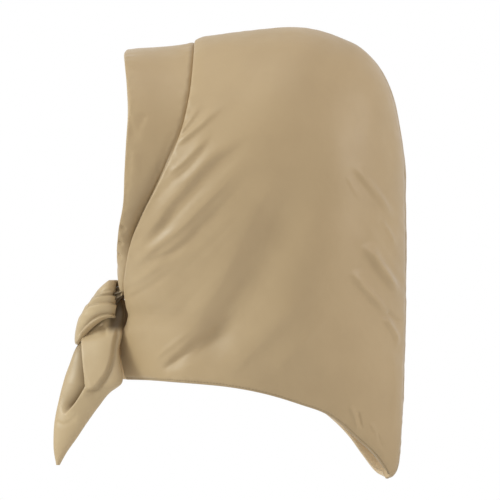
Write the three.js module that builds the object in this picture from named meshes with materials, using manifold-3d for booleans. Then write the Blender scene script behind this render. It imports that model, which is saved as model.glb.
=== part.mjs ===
// A padded hooded scarf with a tied knot under the chin, in millimetres.
// +Z is up, the wearer faces -Y, and +X is the wearer's left.
// The origin is where the crown of the head touches the inside of the hood.
// Two side panels meet in a seam over the top and down the back, which ends in a pointed tail.
// A folded brim frames the face. Its ends run as ties into a knot, with two pointed ends below it.
import * as THREE from "three";
import { mergeVertices } from "three/addons/utils/BufferGeometryUtils.js";
import Module from "manifold-3d";

const wasm = await Module();
wasm.setup();

// Clearances between neighbouring pieces
const SEAM_GAP = 0.5;
const PIECE_GAP = 0.4;

// Padding of a side panel: how far its outside dips at a seam, the thickness there,
// what the wadding adds in the middle, and how far from a seam it is full
const PANEL_DIP = 2.6;
const PANEL_EDGE = 3.0;
const PANEL_WADDING = 8.0;
const PANEL_ROUND = 20;

// Padding of the brim, its thickness at its edges, and how far it sinks beside the seam
const BRIM_THICKNESS = 7.0;
const BRIM_EDGE = 2.6;
const BRIM_DIP = 3.0;

// Thickness of the wrap of the knot, and the height of its folds
const WRAP_THICKNESS = 7;
const WRAP_FOLD = 1.6;
const WRAP_FOLDS = 5;

// Mesh steps
const PANEL_RIBS = 32;
const PANEL_ACROSS = 22;
const BRIM_STEPS = 48;
const BRIM_ACROSS = 6;
const WRAP_AROUND = 26;
const WRAP_DOWN = 15;
const TAIL_SIDES = 18;
const TIE_SIDES = 14;
const RIB_SAMPLES = 80;

// The crown and back seam in profile, from the front edge of the panels to the tip of the tail
const SEAM = [
  { y: -96, z: -1.7 },
  { y: -88, z: 1.8 },
  { y: -70, z: 4.8 },
  { y: -40, z: 9 },
  { y: 0, z: 12 },
  { y: 25, z: 9.3 },
  { y: 50, z: 1.5 },
  { y: 70.5, z: -8.4 },
  { y: 88.5, z: -26.8 },
  { y: 100.8, z: -50 },
  { y: 110.8, z: -90 },
  { y: 115.8, z: -125 },
  { y: 116.4, z: -165 },
  { y: 117, z: -200 },
  { y: 116.8, z: -250 },
  { y: 115.8, z: -310 },
  { y: 114, z: -365 },
  { y: 111.9, z: -412 },
  { y: 107, z: -440.5 },
];

// The lower hem in profile, from the front corner to the tail. droop lowers the right panel's hem
const HEM = [
  { y: -165, z: -343, droop: 0 },
  { y: -137.5, z: -343.5, droop: 0 },
  { y: -94.5, z: -345.8, droop: 0 },
  { y: -53.5, z: -349.7, droop: 0 },
  { y: -13, z: -358, droop: 0 },
  { y: 16.5, z: -367.4, droop: 1 },
  { y: 41.5, z: -377, droop: 9.5 },
  { y: 56.5, z: -388, droop: 13 },
  { y: 69.5, z: -401, droop: 16 },
  { y: 84.5, z: -416, droop: 18 },
  { y: 98, z: -436.5, droop: 6 },
];

// The front edge of a panel in profile, from the crown to the lower corner. lap brings the
// right panel's edge further forward
const FRONT_EDGE = [
  { y: -96, z: -1.7, lap: 0 },
  { y: -94.5, z: -12, lap: 0 },
  { y: -94, z: -35, lap: 0 },
  { y: -96.3, z: -63, lap: 0 },
  { y: -102.3, z: -92, lap: 0 },
  { y: -113, z: -120, lap: 0 },
  { y: -128.2, z: -152, lap: 0 },
  { y: -143, z: -180, lap: 0 },
  { y: -154, z: -203, lap: 0 },
  { y: -161.5, z: -230, lap: 0 },
  { y: -165, z: -250, lap: 0 },
  { y: -164.2, z: -266, lap: 3 },
  { y: -162, z: -279, lap: 6.5 },
  { y: -164.2, z: -286, lap: 6.5 },
  { y: -169, z: -296, lap: 4 },
  { y: -170.7, z: -310, lap: 3 },
  { y: -169, z: -325, lap: 3 },
  { y: -165, z: -343, lap: 0 },
];

// Half widths of the hood along each rib, which runs from the seam over to the hem.
// rib is the share of the way from the front edge to the tail; w05 is the half width
// at 5% of the rib's length in profile, and so on
const WIDTH_SHARES = {
  w05: 0.05,
  w12: 0.12,
  w25: 0.25,
  w45: 0.45,
  w62: 0.62,
  w75: 0.75,
  w86: 0.86,
  w100: 1,
};
const WIDTHS = [
  { rib: 0.0, w05: 54, w12: 76, w25: 97, w45: 99, w62: 71, w75: 37, w86: 20, w100: 10 },
  { rib: 0.08, w05: 60, w12: 85, w25: 108, w45: 113, w62: 95, w75: 71, w86: 51, w100: 34 },
  { rib: 0.18, w05: 63, w12: 90, w25: 114, w45: 120, w62: 109, w75: 94, w86: 80, w100: 66 },
  { rib: 0.3, w05: 57, w12: 83, w25: 110, w45: 121, w62: 115, w75: 105, w86: 94, w100: 81 },
  { rib: 0.45, w05: 44, w12: 67, w25: 93, w45: 112, w62: 112, w75: 107, w86: 99, w100: 88 },
  { rib: 0.6, w05: 31, w12: 48, w25: 70, w45: 89, w62: 95, w75: 95, w86: 91, w100: 83 },
  { rib: 0.75, w05: 19, w12: 30, w25: 45, w45: 59, w62: 66, w75: 68, w86: 67, w100: 63 },
  { rib: 0.9, w05: 9, w12: 14, w25: 21, w45: 28, w62: 32, w75: 34, w86: 34, w100: 33 },
  { rib: 1.0, w05: 2, w12: 3, w25: 4, w45: 5, w62: 6, w75: 6.5, w86: 7, w100: 7.5 },
];

// The folds' profile is seen from a little behind the side: the tangent of that turn
const PROFILE_TURN = 0.0785;
// Folds pressed into a panel, in that profile: each runs from y0, z0 to y1, z1, bows by bend,
// is wide at its far end, and goes out by height, or in where height is negative
const FOLDS = [
  { y0: -127, z0: -331, y1: 8, z1: -118, bend: -26, wide: 17, height: -5.0 },
  { y0: -118, z0: -318, y1: -22, z1: -150, bend: -16, wide: 13, height: 2.2 },
  { y0: -112, z0: -290, y1: -38, z1: -150, bend: -12, wide: 12, height: -2.2 },
  { y0: -150, z0: -208, y1: -80, z1: -122, bend: -6, wide: 9, height: -2.6 },
  { y0: -146, z0: -222, y1: -72, z1: -160, bend: -6, wide: 9, height: 1.6 },
  { y0: -112, z0: -118, y1: -62, z1: -78, bend: -3, wide: 8, height: -1.8 },
  { y0: -106, z0: -92, y1: -70, z1: -62, bend: -2, wide: 7, height: -1.4 },
  { y0: -122, z0: -142, y1: -58, z1: -100, bend: -4, wide: 8, height: -1.6 },
  { y0: 118, z0: -182, y1: 68, z1: -118, bend: 3, wide: 9, height: 1.8 },
  { y0: 118, z0: -262, y1: 82, z1: -196, bend: 3, wide: 9, height: 2.4 },
  { y0: 112, z0: -262, y1: 88, z1: -230, bend: 2, wide: 8, height: -2.4 },
  { y0: 116, z0: -282, y1: 66, z1: -226, bend: 3, wide: 9, height: 2.0 },
];

// The face edge of the brim, from the crown to the chin: half width x in front view
const FACE_EDGE = [
  { x: 0, y: -165, z: -14 },
  { x: 34, y: -163.7, z: -18 },
  { x: 60, y: -160.6, z: -28 },
  { x: 78, y: -157.2, z: -48 },
  { x: 90, y: -155.1, z: -76 },
  { x: 94.5, y: -156.5, z: -106 },
  { x: 93, y: -158.2, z: -136 },
  { x: 85, y: -160, z: -165 },
  { x: 70, y: -165.2, z: -192 },
  { x: 51, y: -167.4, z: -214 },
  { x: 32, y: -167.2, z: -228.5 },
  { x: 16, y: -168.2, z: -237.5 },
];
// Share of the panel's front edge, from the crown, that the brim is sewn to
const BRIM_END = 0.775;

// The wrap of the knot, from its top opening down to its lower rim
const WRAP_BACK = { y: -180, depth: 15 };
const WRAP = [
  { down: 0.0, side: 14, sideZ: -241, front: -184.5, frontZ: -244.5 },
  { down: 0.25, side: 25, sideZ: -248.5, front: -196.8, frontZ: -256 },
  { down: 0.5, side: 30, sideZ: -259, front: -209, frontZ: -273 },
  { down: 0.75, side: 32, sideZ: -269, front: -215, frontZ: -290 },
  { down: 1.0, side: 31, sideZ: -280, front: -216.5, frontZ: -307 },
];
const WRAP_ENDS = Math.PI * 0.12;

// A tie, from the end of the brim into the knot: centre, half width across the brim, half thickness
const TIE = [
  { x: 28.5, y: -168.5, z: -250, wide: 15, half: 2.6 },
  { x: 26, y: -170.5, z: -252.5, wide: 13.5, half: 3.6 },
  { x: 22, y: -174.3, z: -256.5, wide: 11, half: 5.5 },
  { x: 16, y: -179.3, z: -262, wide: 9, half: 6.5 },
  { x: 10.5, y: -184, z: -268, wide: 7, half: 6.5 },
];
// The direction across the end of the brim, from the face edge to the sewn edge
const TIE_ACROSS = { x: 0.92, y: 0.11, z: -0.36 };
const TIE_PLEATS = 5;
const TIE_PLEAT = 0.09;

// A pointed end, in level sections: its front and back edges in profile, the distances x of
// those edges from the middle, its half thickness, and how deep the crease behind the front lobe is
const TAIL = [
  { z: -284, front: -198.5, back: -169.3, xFront: 7, xBack: 22, half: 8, crease: 0 },
  { z: -298, front: -206.4, back: -167.8, xFront: 8, xBack: 28, half: 10, crease: 0.1 },
  { z: -312, front: -214.3, back: -167.4, xFront: 9, xBack: 33, half: 11, crease: 0.3 },
  { z: -326, front: -219.2, back: -165.2, xFront: 10, xBack: 36, half: 11.5, crease: 0.5 },
  { z: -338, front: -223.6, back: -163.5, xFront: 11, xBack: 38, half: 11.5, crease: 0.55 },
  { z: -346, front: -226.1, back: -168, xFront: 12, xBack: 38, half: 11, crease: 0.55 },
  { z: -354, front: -228.5, back: -179.5, xFront: 13, xBack: 34, half: 10.5, crease: 0.5 },
  { z: -368, front: -231.8, back: -190.5, xFront: 15, xBack: 31, half: 9.5, crease: 0.35 },
  { z: -384, front: -234.7, back: -202.6, xFront: 17, xBack: 29, half: 8, crease: 0.15 },
  { z: -400, front: -235.5, back: -213.8, xFront: 19, xBack: 27, half: 6.5, crease: 0 },
  { z: -414, front: -234.9, back: -224, xFront: 21, xBack: 26, half: 4.5, crease: 0 },
  { z: -427, front: -232.3, back: -229.8, xFront: 22, xBack: 24, half: 2, crease: 0 },
];
const TAIL_LOBE = 0.4;
const RIGHT_TAIL_WIDTH = 0.9;

const mix = (a, b, t) => a + (b - a) * t;
const clamp = (t) => Math.min(1, Math.max(0, t));
const smooth = (t) => clamp(t) ** 2 * (3 - 2 * clamp(t));
// A quarter circle: 0 at the edge of a pad, 1 where it is full
const pillow = (distance, radius) => Math.sqrt(1 - (1 - clamp(distance / radius)) ** 2);

// A smooth curve through values at rising places
function through(places, values) {
  const steps = places.slice(1).map((p, i) => p - places[i]);
  const slopes = steps.map((step, i) => (values[i + 1] - values[i]) / step);
  const tangents = values.map((_, i) => {
    if (i === 0) return slopes[0];
    if (i === slopes.length) return slopes[i - 1];
    return (slopes[i - 1] * steps[i] + slopes[i] * steps[i - 1]) / (steps[i - 1] + steps[i]);
  });
  return (place) => {
    let i = 0;
    while (i < steps.length - 1 && place > places[i + 1]) i += 1;
    const t = clamp((place - places[i]) / steps[i]);
    return (
      values[i] * (1 + 2 * t) * (1 - t) ** 2 +
      tangents[i] * steps[i] * t * (1 - t) ** 2 +
      values[i + 1] * t * t * (3 - 2 * t) +
      tangents[i + 1] * steps[i] * t * t * (t - 1)
    );
  };
}

// The rows of a table as a curve by share of its length: each named column at that share
function along(rows, columns) {
  const distances = [0];
  rows.slice(1).forEach((row, i) => {
    const squares = ["x", "y", "z"].map((c) => ((row[c] ?? 0) - (rows[i][c] ?? 0)) ** 2);
    distances.push(distances[i] + Math.sqrt(squares[0] + squares[1] + squares[2]));
  });
  const total = distances[distances.length - 1];
  const places = distances.map((d) => d / total);
  const curves = columns.map((c) => through(places, rows.map((row) => row[c])));
  return (share) => Object.fromEntries(columns.map((c, i) => [c, curves[i](share)]));
}

// The rows of a table as curves over one of its own columns
function over(rows, place, columns) {
  const places = rows.map((row) => row[place]);
  const curves = columns.map((c) => through(places, rows.map((row) => row[c])));
  return (at) => Object.fromEntries(columns.map((c, i) => [c, curves[i](at)]));
}

const seamAt = along(SEAM, ["y", "z"]);
const hemAt = along(HEM, ["y", "z", "droop"]);
const frontEdgeAt = along(FRONT_EDGE, ["y", "z", "lap"]);
const faceEdgeAt = along(FACE_EDGE, ["x", "y", "z"]);
const widthColumns = Object.keys(WIDTH_SHARES);
const widthsAt = over(WIDTHS, "rib", widthColumns);
const wrapAt = over(WRAP, "down", ["side", "sideZ", "front", "frontZ"]);

// How far the folds move a panel's surface at a point of the profile
function foldHeight(y, z) {
  return FOLDS.reduce((height, fold) => {
    const [dy, dz] = [fold.y1 - fold.y0, fold.z1 - fold.z0];
    const length = Math.hypot(dy, dz);
    const share = ((y - fold.y0) * dy + (z - fold.z0) * dz) / length ** 2;
    if (share <= 0 || share >= 1) return height;
    const side = ((y - fold.y0) * dz - (z - fold.z0) * dy) / length;
    const bow = -4 * fold.bend * share * (1 - share);
    const width = fold.wide * (0.45 + 0.55 * share);
    const fade = smooth(share / 0.18) * smooth((1 - share) / 0.6);
    return height + fold.height * fade * Math.exp(-(((side - bow) / width) ** 2));
  }, 0);
}

// One rib of a panel's base surface on the left side, in evenly spaced points from the seam to the hem
function ribPoints(rib, steps, isRight) {
  const seam = seamAt(rib);
  const hem = hemAt(rib);
  const hemZ = hem.z - (isRight ? hem.droop : 0);
  const widths = widthsAt(rib);
  const squareAt = through(
    [0, ...widthColumns.map((c) => WIDTH_SHARES[c])],
    [0, ...widthColumns.map((c) => widths[c] ** 2)],
  );
  const [start, end] = [frontEdgeAt(0), frontEdgeAt(1)];
  const bow = 1 - smooth(rib / 0.42);
  const points = [];
  for (let i = 0; i <= RIB_SAMPLES; i += 1) {
    const share = (i / RIB_SAMPLES) ** 2;
    const edge = frontEdgeAt(share);
    const x = Math.hypot(Math.sqrt(Math.max(0, squareAt(share))), SEAM_GAP / 2);
    const edgeY = edge.y - (isRight ? edge.lap : 0);
    const y = mix(seam.y, hem.y, share) + bow * (edgeY - mix(start.y, end.y, share));
    const z = mix(seam.z, hemZ, share) + bow * (edge.z - mix(start.z, end.z, share));
    points.push(new THREE.Vector3(x, y, z));
  }
  return evenly(points, steps);
}

// A chain of points taken again at even steps of its length
function evenly(points, steps) {
  const distances = [0];
  points.slice(1).forEach((p, i) => distances.push(distances[i] + p.distanceTo(points[i])));
  const total = distances[distances.length - 1];
  const result = [];
  for (let k = 0, i = 0; k <= steps; k += 1) {
    const want = (total * k) / steps;
    while (i < points.length - 2 && distances[i + 1] < want) i += 1;
    const t = (want - distances[i]) / (distances[i + 1] - distances[i]);
    result.push(points[i].clone().lerp(points[i + 1], clamp(t)));
  }
  return result;
}

// Outward unit normals of a grid of points whose rows run from the front to the tail
function gridNormals(grid) {
  const last = grid.length - 1;
  return grid.map((row, i) =>
    row.map((_, j) => {
      const alongRows = grid[Math.min(i + 1, last)][j].clone().sub(grid[Math.max(i - 1, 0)][j]);
      const across = row[Math.min(j + 1, row.length - 1)].clone().sub(row[Math.max(j - 1, 0)]);
      const normal = across.cross(alongRows);
      if (j === 0) normal.x = 0;
      return normal.normalize();
    }),
  );
}

// A closed mesh from points and triangles, turned inside out for a mirrored piece
function meshGeometry(points, triangles, flipped) {
  const geometry = new THREE.BufferGeometry();
  const values = points.flatMap((p) => [p.x, p.y, p.z]);
  geometry.setAttribute("position", new THREE.Float32BufferAttribute(values, 3));
  geometry.setIndex(flipped ? triangles.flatMap(([a, b, c]) => [a, c, b]) : triangles.flat());
  return geometry;
}

// A wall between an outer and an inner grid of the same size, closed all round its edge
function wall(outer, inner, flipped) {
  const [rows, columns] = [outer.length, outer[0].length];
  const points = [...outer.flat(), ...inner.flat()];
  const out = (i, j) => i * columns + j;
  const inn = (i, j) => rows * columns + i * columns + j;
  const triangles = [];
  const quad = (a, b, c, d) => triangles.push([a, b, c], [a, c, d]);
  for (let i = 0; i < rows - 1; i += 1) {
    for (let j = 0; j < columns - 1; j += 1) {
      quad(out(i, j), out(i, j + 1), out(i + 1, j + 1), out(i + 1, j));
      quad(inn(i, j), inn(i + 1, j), inn(i + 1, j + 1), inn(i, j + 1));
    }
    quad(out(i, 0), out(i + 1, 0), inn(i + 1, 0), inn(i, 0));
    quad(out(i, columns - 1), inn(i, columns - 1), inn(i + 1, columns - 1), out(i + 1, columns - 1));
  }
  for (let j = 0; j < columns - 1; j += 1) {
    quad(out(0, j), inn(0, j), inn(0, j + 1), out(0, j + 1));
    quad(out(rows - 1, j + 1), inn(rows - 1, j + 1), inn(rows - 1, j), out(rows - 1, j));
  }
  return meshGeometry(points, triangles, flipped);
}

// A solid through closed sections of equal size, with its two ends filled from their middles
function loft(sections, flipped) {
  const count = sections[0].length;
  const points = sections.flat();
  const triangles = [];
  for (let i = 0; i < sections.length - 1; i += 1) {
    for (let j = 0; j < count; j += 1) {
      const [a, b] = [i * count + j, i * count + ((j + 1) % count)];
      triangles.push([a, b, b + count], [a, b + count, a + count]);
    }
  }
  [0, sections.length - 1].forEach((i) => {
    const middle = new THREE.Vector3();
    sections[i].forEach((p) => middle.addScaledVector(p, 1 / count));
    points.push(middle);
    for (let j = 0; j < count; j += 1) {
      const [a, b] = [i * count + j, i * count + ((j + 1) % count)];
      triangles.push(i === 0 ? [points.length - 1, b, a] : [points.length - 1, a, b]);
    }
  });
  return meshGeometry(points, triangles, flipped);
}

function mirrored(points) {
  return points.map((p) => new THREE.Vector3(-p.x, p.y, p.z));
}

// The outer and inner surfaces of a side panel, as if it were the left one:
// a padded wall, thin along its seams and full in the middle
function panelSurfaces(isRight) {
  const grid = [];
  for (let i = 0; i <= PANEL_RIBS; i += 1) grid.push(ribPoints(i / PANEL_RIBS, PANEL_ACROSS, isRight));
  const normals = gridNormals(grid);
  const outer = grid.map((row) => row.map((point) => point.clone()));
  const inner = grid.map((row) => row.map((point) => point.clone()));
  grid.forEach((row, i) => {
    const length = row[0].distanceTo(row[1]) * PANEL_ACROSS;
    row.forEach((point, j) => {
      const fromSeam = (length * j) / PANEL_ACROSS;
      const fromFront = grid[0][j].distanceTo(point);
      const fromTip = grid[PANEL_RIBS][j].distanceTo(point);
      const nearest = Math.min(fromSeam, length - fromSeam, fromFront, fromTip);
      const full = pillow(nearest, PANEL_ROUND);
      const fold = foldHeight(point.y - PROFILE_TURN * point.x, point.z);
      const lift = fold * smooth(nearest / PANEL_ROUND) - PANEL_DIP * (1 - full);
      const depth = PANEL_EDGE + PANEL_WADDING * full;
      outer[i][j].addScaledVector(normals[i][j], lift);
      inner[i][j].addScaledVector(normals[i][j], mix(-PANEL_DIP, lift, full) - depth);
      outer[i][j].x = Math.max(outer[i][j].x, SEAM_GAP / 2);
      inner[i][j].x = Math.max(inner[i][j].x, SEAM_GAP / 2);
    });
  });
  return { outer, inner };
}

function panelGeometry({ outer, inner }, isRight) {
  return isRight ? wall(outer.map(mirrored), inner.map(mirrored), true) : wall(outer, inner, false);
}

// A row of points at a share of its length
function rowAt(row, share) {
  const place = clamp(share) * (row.length - 1);
  const i = Math.min(Math.floor(place), row.length - 2);
  return row[i].clone().lerp(row[i + 1], place - i);
}

// A closed section of the brim at a share of its length: 0 is the crown, 1 the left chin, -1 the right.
// It starts on the end face of the panels' front edge and runs forward to the face edge
function brimSection(panel, share) {
  const reach = Math.abs(share);
  const sewn = (t) => rowAt(panel.outer[0], t * BRIM_END).lerp(rowAt(panel.inner[0], t * BRIM_END), 0.5);
  const step = 1 / BRIM_STEPS;
  const tangent = sewn(reach + step).sub(sewn(Math.max(0, reach - step)));
  const panelNormal = rowAt(panel.outer[0], reach * BRIM_END).sub(rowAt(panel.inner[0], reach * BRIM_END));
  const edge = faceEdgeAt(reach);
  const front = new THREE.Vector3(edge.x, edge.y, edge.z);
  const back = sewn(reach);
  if (reach === 0) {
    back.x = 0;
    tangent.set(1, 0, 0);
    panelNormal.x = 0;
  }
  panelNormal.normalize();
  back.addScaledVector(panelNormal.clone().cross(tangent).normalize(), -PIECE_GAP);
  const normal = front.clone().sub(back).cross(tangent).normalize();
  const outer = [];
  const inner = [];
  for (let i = 0; i <= BRIM_ACROSS; i += 1) {
    const t = i / BRIM_ACROSS;
    const turned = panelNormal.clone().lerp(normal, smooth(t / 0.4)).normalize();
    const full = pillow(Math.min(t, 1 - t), 0.35);
    const half = mix(BRIM_EDGE, BRIM_THICKNESS, full) / 2;
    const dip = BRIM_DIP * Math.sin(Math.PI * t ** 0.6) * (1 - smooth((reach - 0.8) / 0.2));
    const middle = back.clone().lerp(front, t).addScaledVector(normal, -dip);
    outer.push(middle.clone().addScaledVector(turned, half));
    inner.push(middle.clone().addScaledVector(turned, -half));
  }
  const loop = [...outer, ...inner.reverse()];
  return share < 0 ? mirrored(loop) : loop;
}

function brimGeometry(panel) {
  const sections = [];
  for (let i = 0; i <= BRIM_STEPS; i += 1) sections.push(brimSection(panel, (2 * i) / BRIM_STEPS - 1));
  return loft(sections, false);
}

// The wrap of the knot: a thick cap, open at the back and below, with folds that run round it
function wrapGeometry(grow) {
  const [outer, inner] = [[], []];
  for (let i = 0; i <= WRAP_DOWN; i += 1) {
    const down = i / WRAP_DOWN;
    const row = wrapAt(down);
    const edge = pillow(Math.min(down, 1 - down), 0.12);
    const outRow = [];
    const inRow = [];
    for (let j = 0; j <= WRAP_AROUND; j += 1) {
      const ends = WRAP_ENDS + grow / WRAP[0].side;
      const turn = mix(-ends, Math.PI + ends, j / WRAP_AROUND);
      const [c, s] = [Math.cos(turn), Math.sin(turn)];
      const fromEnd = pillow(Math.min(j, WRAP_AROUND - j) / WRAP_AROUND, 0.2);
      const reach = s > 0 ? WRAP_BACK.y - row.front : WRAP_BACK.depth;
      const z = mix(row.sideZ, row.frontZ, clamp(s) ** 1.4) + grow * (1 - 2 * down);
      const folds = Math.abs(Math.sin(Math.PI * (WRAP_FOLDS * down + 0.25 * c)));
      const lift = WRAP_FOLD * (folds - 1) - 2 * (1 - edge) - 2 * (1 - fromEnd);
      const outward = new THREE.Vector3(c * reach, -s * row.side, 0).normalize();
      outward.z = 0.5 * (1 - down);
      outward.normalize();
      const point = new THREE.Vector3(row.side * c, WRAP_BACK.y - reach * s, z);
      const depth = mix(3, WRAP_THICKNESS, Math.min(edge, fromEnd));
      outRow.push(point.clone().addScaledVector(outward, lift + grow));
      inRow.push(point.clone().addScaledVector(outward, -depth - grow));
    }
    outer.push(outRow);
    inner.push(inRow);
  }
  return wall(outer, inner, false);
}

// A tie: a gathered strap whose pleats run along it
function tieGeometry(isRight) {
  const centres = TIE.map((row) => new THREE.Vector3(row.x, row.y, row.z));
  const sections = TIE.map((row, i) => {
    const [before, after] = [centres[Math.max(i - 1, 0)], centres[Math.min(i + 1, TIE.length - 1)]];
    const forward = after.clone().sub(before).normalize();
    const across = new THREE.Vector3(TIE_ACROSS.x, TIE_ACROSS.y, TIE_ACROSS.z);
    across.addScaledVector(forward, -across.dot(forward)).normalize();
    const up = across.clone().cross(forward);
    const loop = [];
    for (let j = 0; j < TIE_SIDES; j += 1) {
      const turn = (2 * Math.PI * j) / TIE_SIDES;
      const pleat = 1 + TIE_PLEAT * Math.cos(TIE_PLEATS * turn);
      const point = centres[i].clone().addScaledVector(across, row.wide * pleat * Math.cos(turn));
      loop.push(point.addScaledVector(up, row.half * pleat * Math.sin(turn)));
    }
    return isRight ? mirrored(loop) : loop;
  });
  return loft(sections, !isRight);
}

// A pointed end: a flattened padded fold with a lobe along its front edge
function tailGeometry(isRight) {
  const width = isRight ? RIGHT_TAIL_WIDTH : 1;
  const sections = TAIL.map((row) => {
    const front = new THREE.Vector3(row.xFront, row.front, row.z);
    const back = new THREE.Vector3(row.xBack, mix(row.front, row.back, width), row.z);
    const middle = front.clone().add(back).multiplyScalar(0.5);
    const axis = front.clone().sub(back).multiplyScalar(0.5);
    const outward = new THREE.Vector3(-axis.y, axis.x, 0).normalize();
    const loop = [];
    for (let j = 0; j < TAIL_SIDES; j += 1) {
      const turn = (2 * Math.PI * j) / TAIL_SIDES;
      const [c, s] = [Math.cos(turn), Math.sin(turn)];
      const lobe = Math.exp(-(((c - TAIL_LOBE) / 0.16) ** 2));
      const depth = row.half * s * (s > 0 ? 1 - row.crease * lobe : 1);
      loop.push(middle.clone().addScaledVector(axis, c).addScaledVector(outward, depth));
    }
    return isRight ? mirrored(loop) : loop;
  });
  return loft(sections, !isRight);
}

// Booleans, on positions alone
function toManifold(geometry) {
  const merged = mergeVertices(geometry, 1e-4);
  return new wasm.Manifold(
    new wasm.Mesh({
      numProp: 3,
      vertProperties: merged.getAttribute("position").array,
      triVerts: new Uint32Array(merged.index.array),
    }),
  );
}

// What is left of a piece once a neighbour, or the whole space it wraps, is cut away, as one body
function cutBy(geometry, neighbour, filled) {
  const other = filled ? toManifold(neighbour).hull() : toManifold(neighbour);
  const left = toManifold(geometry).subtract(other);
  const largest = left.decompose().reduce((a, b) => (a.volume() > b.volume() ? a : b));
  const mesh = largest.getMesh();
  const result = new THREE.BufferGeometry();
  result.setAttribute("position", new THREE.BufferAttribute(mesh.vertProperties, 3));
  result.setIndex(new THREE.BufferAttribute(mesh.triVerts, 1));
  return result;
}

const shell = { color: 0xb89d74, roughness: 0.55, metalness: 0 };
const root = new THREE.Group();
function add(name, geometry) {
  const mesh = new THREE.Mesh(geometry, new THREE.MeshStandardMaterial(shell));
  mesh.name = name;
  mesh.geometry.computeVertexNormals();
  root.add(mesh);
}

const wrapRoom = wrapGeometry(PIECE_GAP);
const leftPanel = panelSurfaces(false);
add("hood_panel_left", panelGeometry(leftPanel, false));
add("hood_panel_right", panelGeometry(panelSurfaces(true), true));
add("brim_band", brimGeometry(leftPanel));
add("knot_wrap", wrapGeometry(0));
add("tie_left", cutBy(tieGeometry(false), wrapRoom, true));
add("tie_right", cutBy(tieGeometry(true), wrapRoom, true));
add("tail_left", cutBy(tailGeometry(false), wrapRoom, false));
add("tail_right", cutBy(tailGeometry(true), wrapRoom, false));

export default root;
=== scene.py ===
# A padded hooded scarf, tied under the chin: its fabric pieces, light and camera.
# Tables are in millimetres, in the part's frame. +X is the wearer's left and -Y is forward.
# A place in profile is (u, v): u is y as the camera sees it, from a little behind the side, and v is z.
import math

import bpy
import numpy as np
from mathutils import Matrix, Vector, noise


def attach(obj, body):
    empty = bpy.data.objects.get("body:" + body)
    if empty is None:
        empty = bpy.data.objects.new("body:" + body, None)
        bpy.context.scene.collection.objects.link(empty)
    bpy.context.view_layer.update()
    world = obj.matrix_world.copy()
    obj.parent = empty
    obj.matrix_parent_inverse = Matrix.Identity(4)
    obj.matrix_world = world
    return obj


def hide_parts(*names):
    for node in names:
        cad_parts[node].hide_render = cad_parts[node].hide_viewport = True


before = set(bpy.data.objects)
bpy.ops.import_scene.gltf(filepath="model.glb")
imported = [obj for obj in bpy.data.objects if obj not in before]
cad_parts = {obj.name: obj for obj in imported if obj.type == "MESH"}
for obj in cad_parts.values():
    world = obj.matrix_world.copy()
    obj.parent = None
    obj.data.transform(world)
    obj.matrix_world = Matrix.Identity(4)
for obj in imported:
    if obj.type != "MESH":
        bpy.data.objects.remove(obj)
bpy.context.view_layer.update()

MM = 0.001
BODY = "root"
# Each side, and whether it is the mirrored one
SIDES = (("left", False), ("right", True))

# The camera: its azimuth, the place in profile at the middle of the picture, the picture's width,
# and how far away it stands
CAMERA_AZIMUTH = 94.5
PICTURE_CENTRE = (-40, -212)
PICTURE_WIDTH = 500
CAMERA_DISTANCE = 16000
SENSOR = 36
# Brightness of the room, apart from its far wall, which is white, and where that ends, by a direction's x
ROOM_DIM = 0.72
FAR_WALL = (-0.96, -0.8)
# The floor: half its width and its height in metres, its colour and its roughness
FLOOR_HALF_SIZE = 4
FLOOR_LEVEL = -0.75
FLOOR_COLOUR = (0.85, 0.85, 0.84, 1)
FLOOR_ROUGHNESS = 0.9
# The lights' distance in metres, then each one's name, direction, size in metres, power in watts and colour
LIGHT_DISTANCE = 2.5
LIGHTS = [
    ("key", (0.25, -0.9, 0.38), 0.8, 36, (0.93, 1, 0.98)),
    ("fill", (0.25, 1, 0.35), 1.4, 18, (1, 1, 1)),
    ("top", (0.35, -0.1, 0.95), 1.6, 12, (1, 1, 1)),
]
PROFILE_TURN = -math.cos(math.radians(CAMERA_AZIMUTH))

# The seam between the panels is closed, and the brim all but touches them
SEAM_GAP = 0.0
PIECE_GAP = 0.2

# The distances from an edge over which folds and puckers rise, and how thin a rounded edge gets
FOLD_FADE = 4
PUCKER_FADE = 3
THINNEST = 0.08

# Padding of a side panel
PANEL_DIP = 2.6
PANEL_EDGE = 3.0
PANEL_WADDING = 8.0
ROUND_AT_SEAM = 20
ROUND_AT_FRONT = 5
ROUND_AT_HEM = 9
ROUND_AT_TIP = 12
# How much of a fold shows on the inside of a panel, and the share of the ribs that bow with its front edge
INSIDE_FOLDS = 0.6
BOWED_RIBS = 0.42

# Padding of the brim at the crown and beside the face, how far its middle sinks, and how far and wide
# it is tucked under the panels
BRIM_THICKNESS = (7.0, 10.0)
BRIM_EDGE = 2.6
BRIM_ROUND = 5.0
BRIM_DIP = 3.0
# Where it lies beside the face: the share of the way from the crown where that starts, and its fade
BESIDE_FACE = (0.15, 0.3)
# Shares of its width that are rounded at the seam, and at the face edge on the crown and beside the face
ROUND_BY_SEAM = 0.35
ROUND_BY_FACE = (0.3, 0.7)
BRIM_TUCK = (1.1, 1.8)
# Share of the way from the crown to the chin, how deep the brim sinks beside the seam, and how far from it
BRIM_SINK = [
    (0, 0.3, 9), (0.3, 0.3, 8), (0.42, 1.0, 8), (0.52, 3.2, 9), (0.65, 5.6, 9), (0.8, 5.6, 7),
    (0.9, 3.5, 5), (1, 0.5, 4),
]
# The distance from the seam over which the sinking starts
SINK_START = 1.5
# The dip of its middle is deepest nearer the seam where this is below 1, and fades towards the chin here
DIP_POWER = 0.6
DIP_FADE = (0.8, 0.2)
# The share of its width over which it turns from the panels' direction to its own
BRIM_TURN = 0.4
# How high its bumps are, as a share of the panels'
BRIM_LUMPS = 0.6
# The share of the panels' front edge that it is sewn to, and the steps in which that edge is measured
BRIM_END = 0.775
SEWN_STEPS = 400
# The depth of sink at which its painted shade beside the seam would be full
BRIM_SHADED = 14

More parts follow.
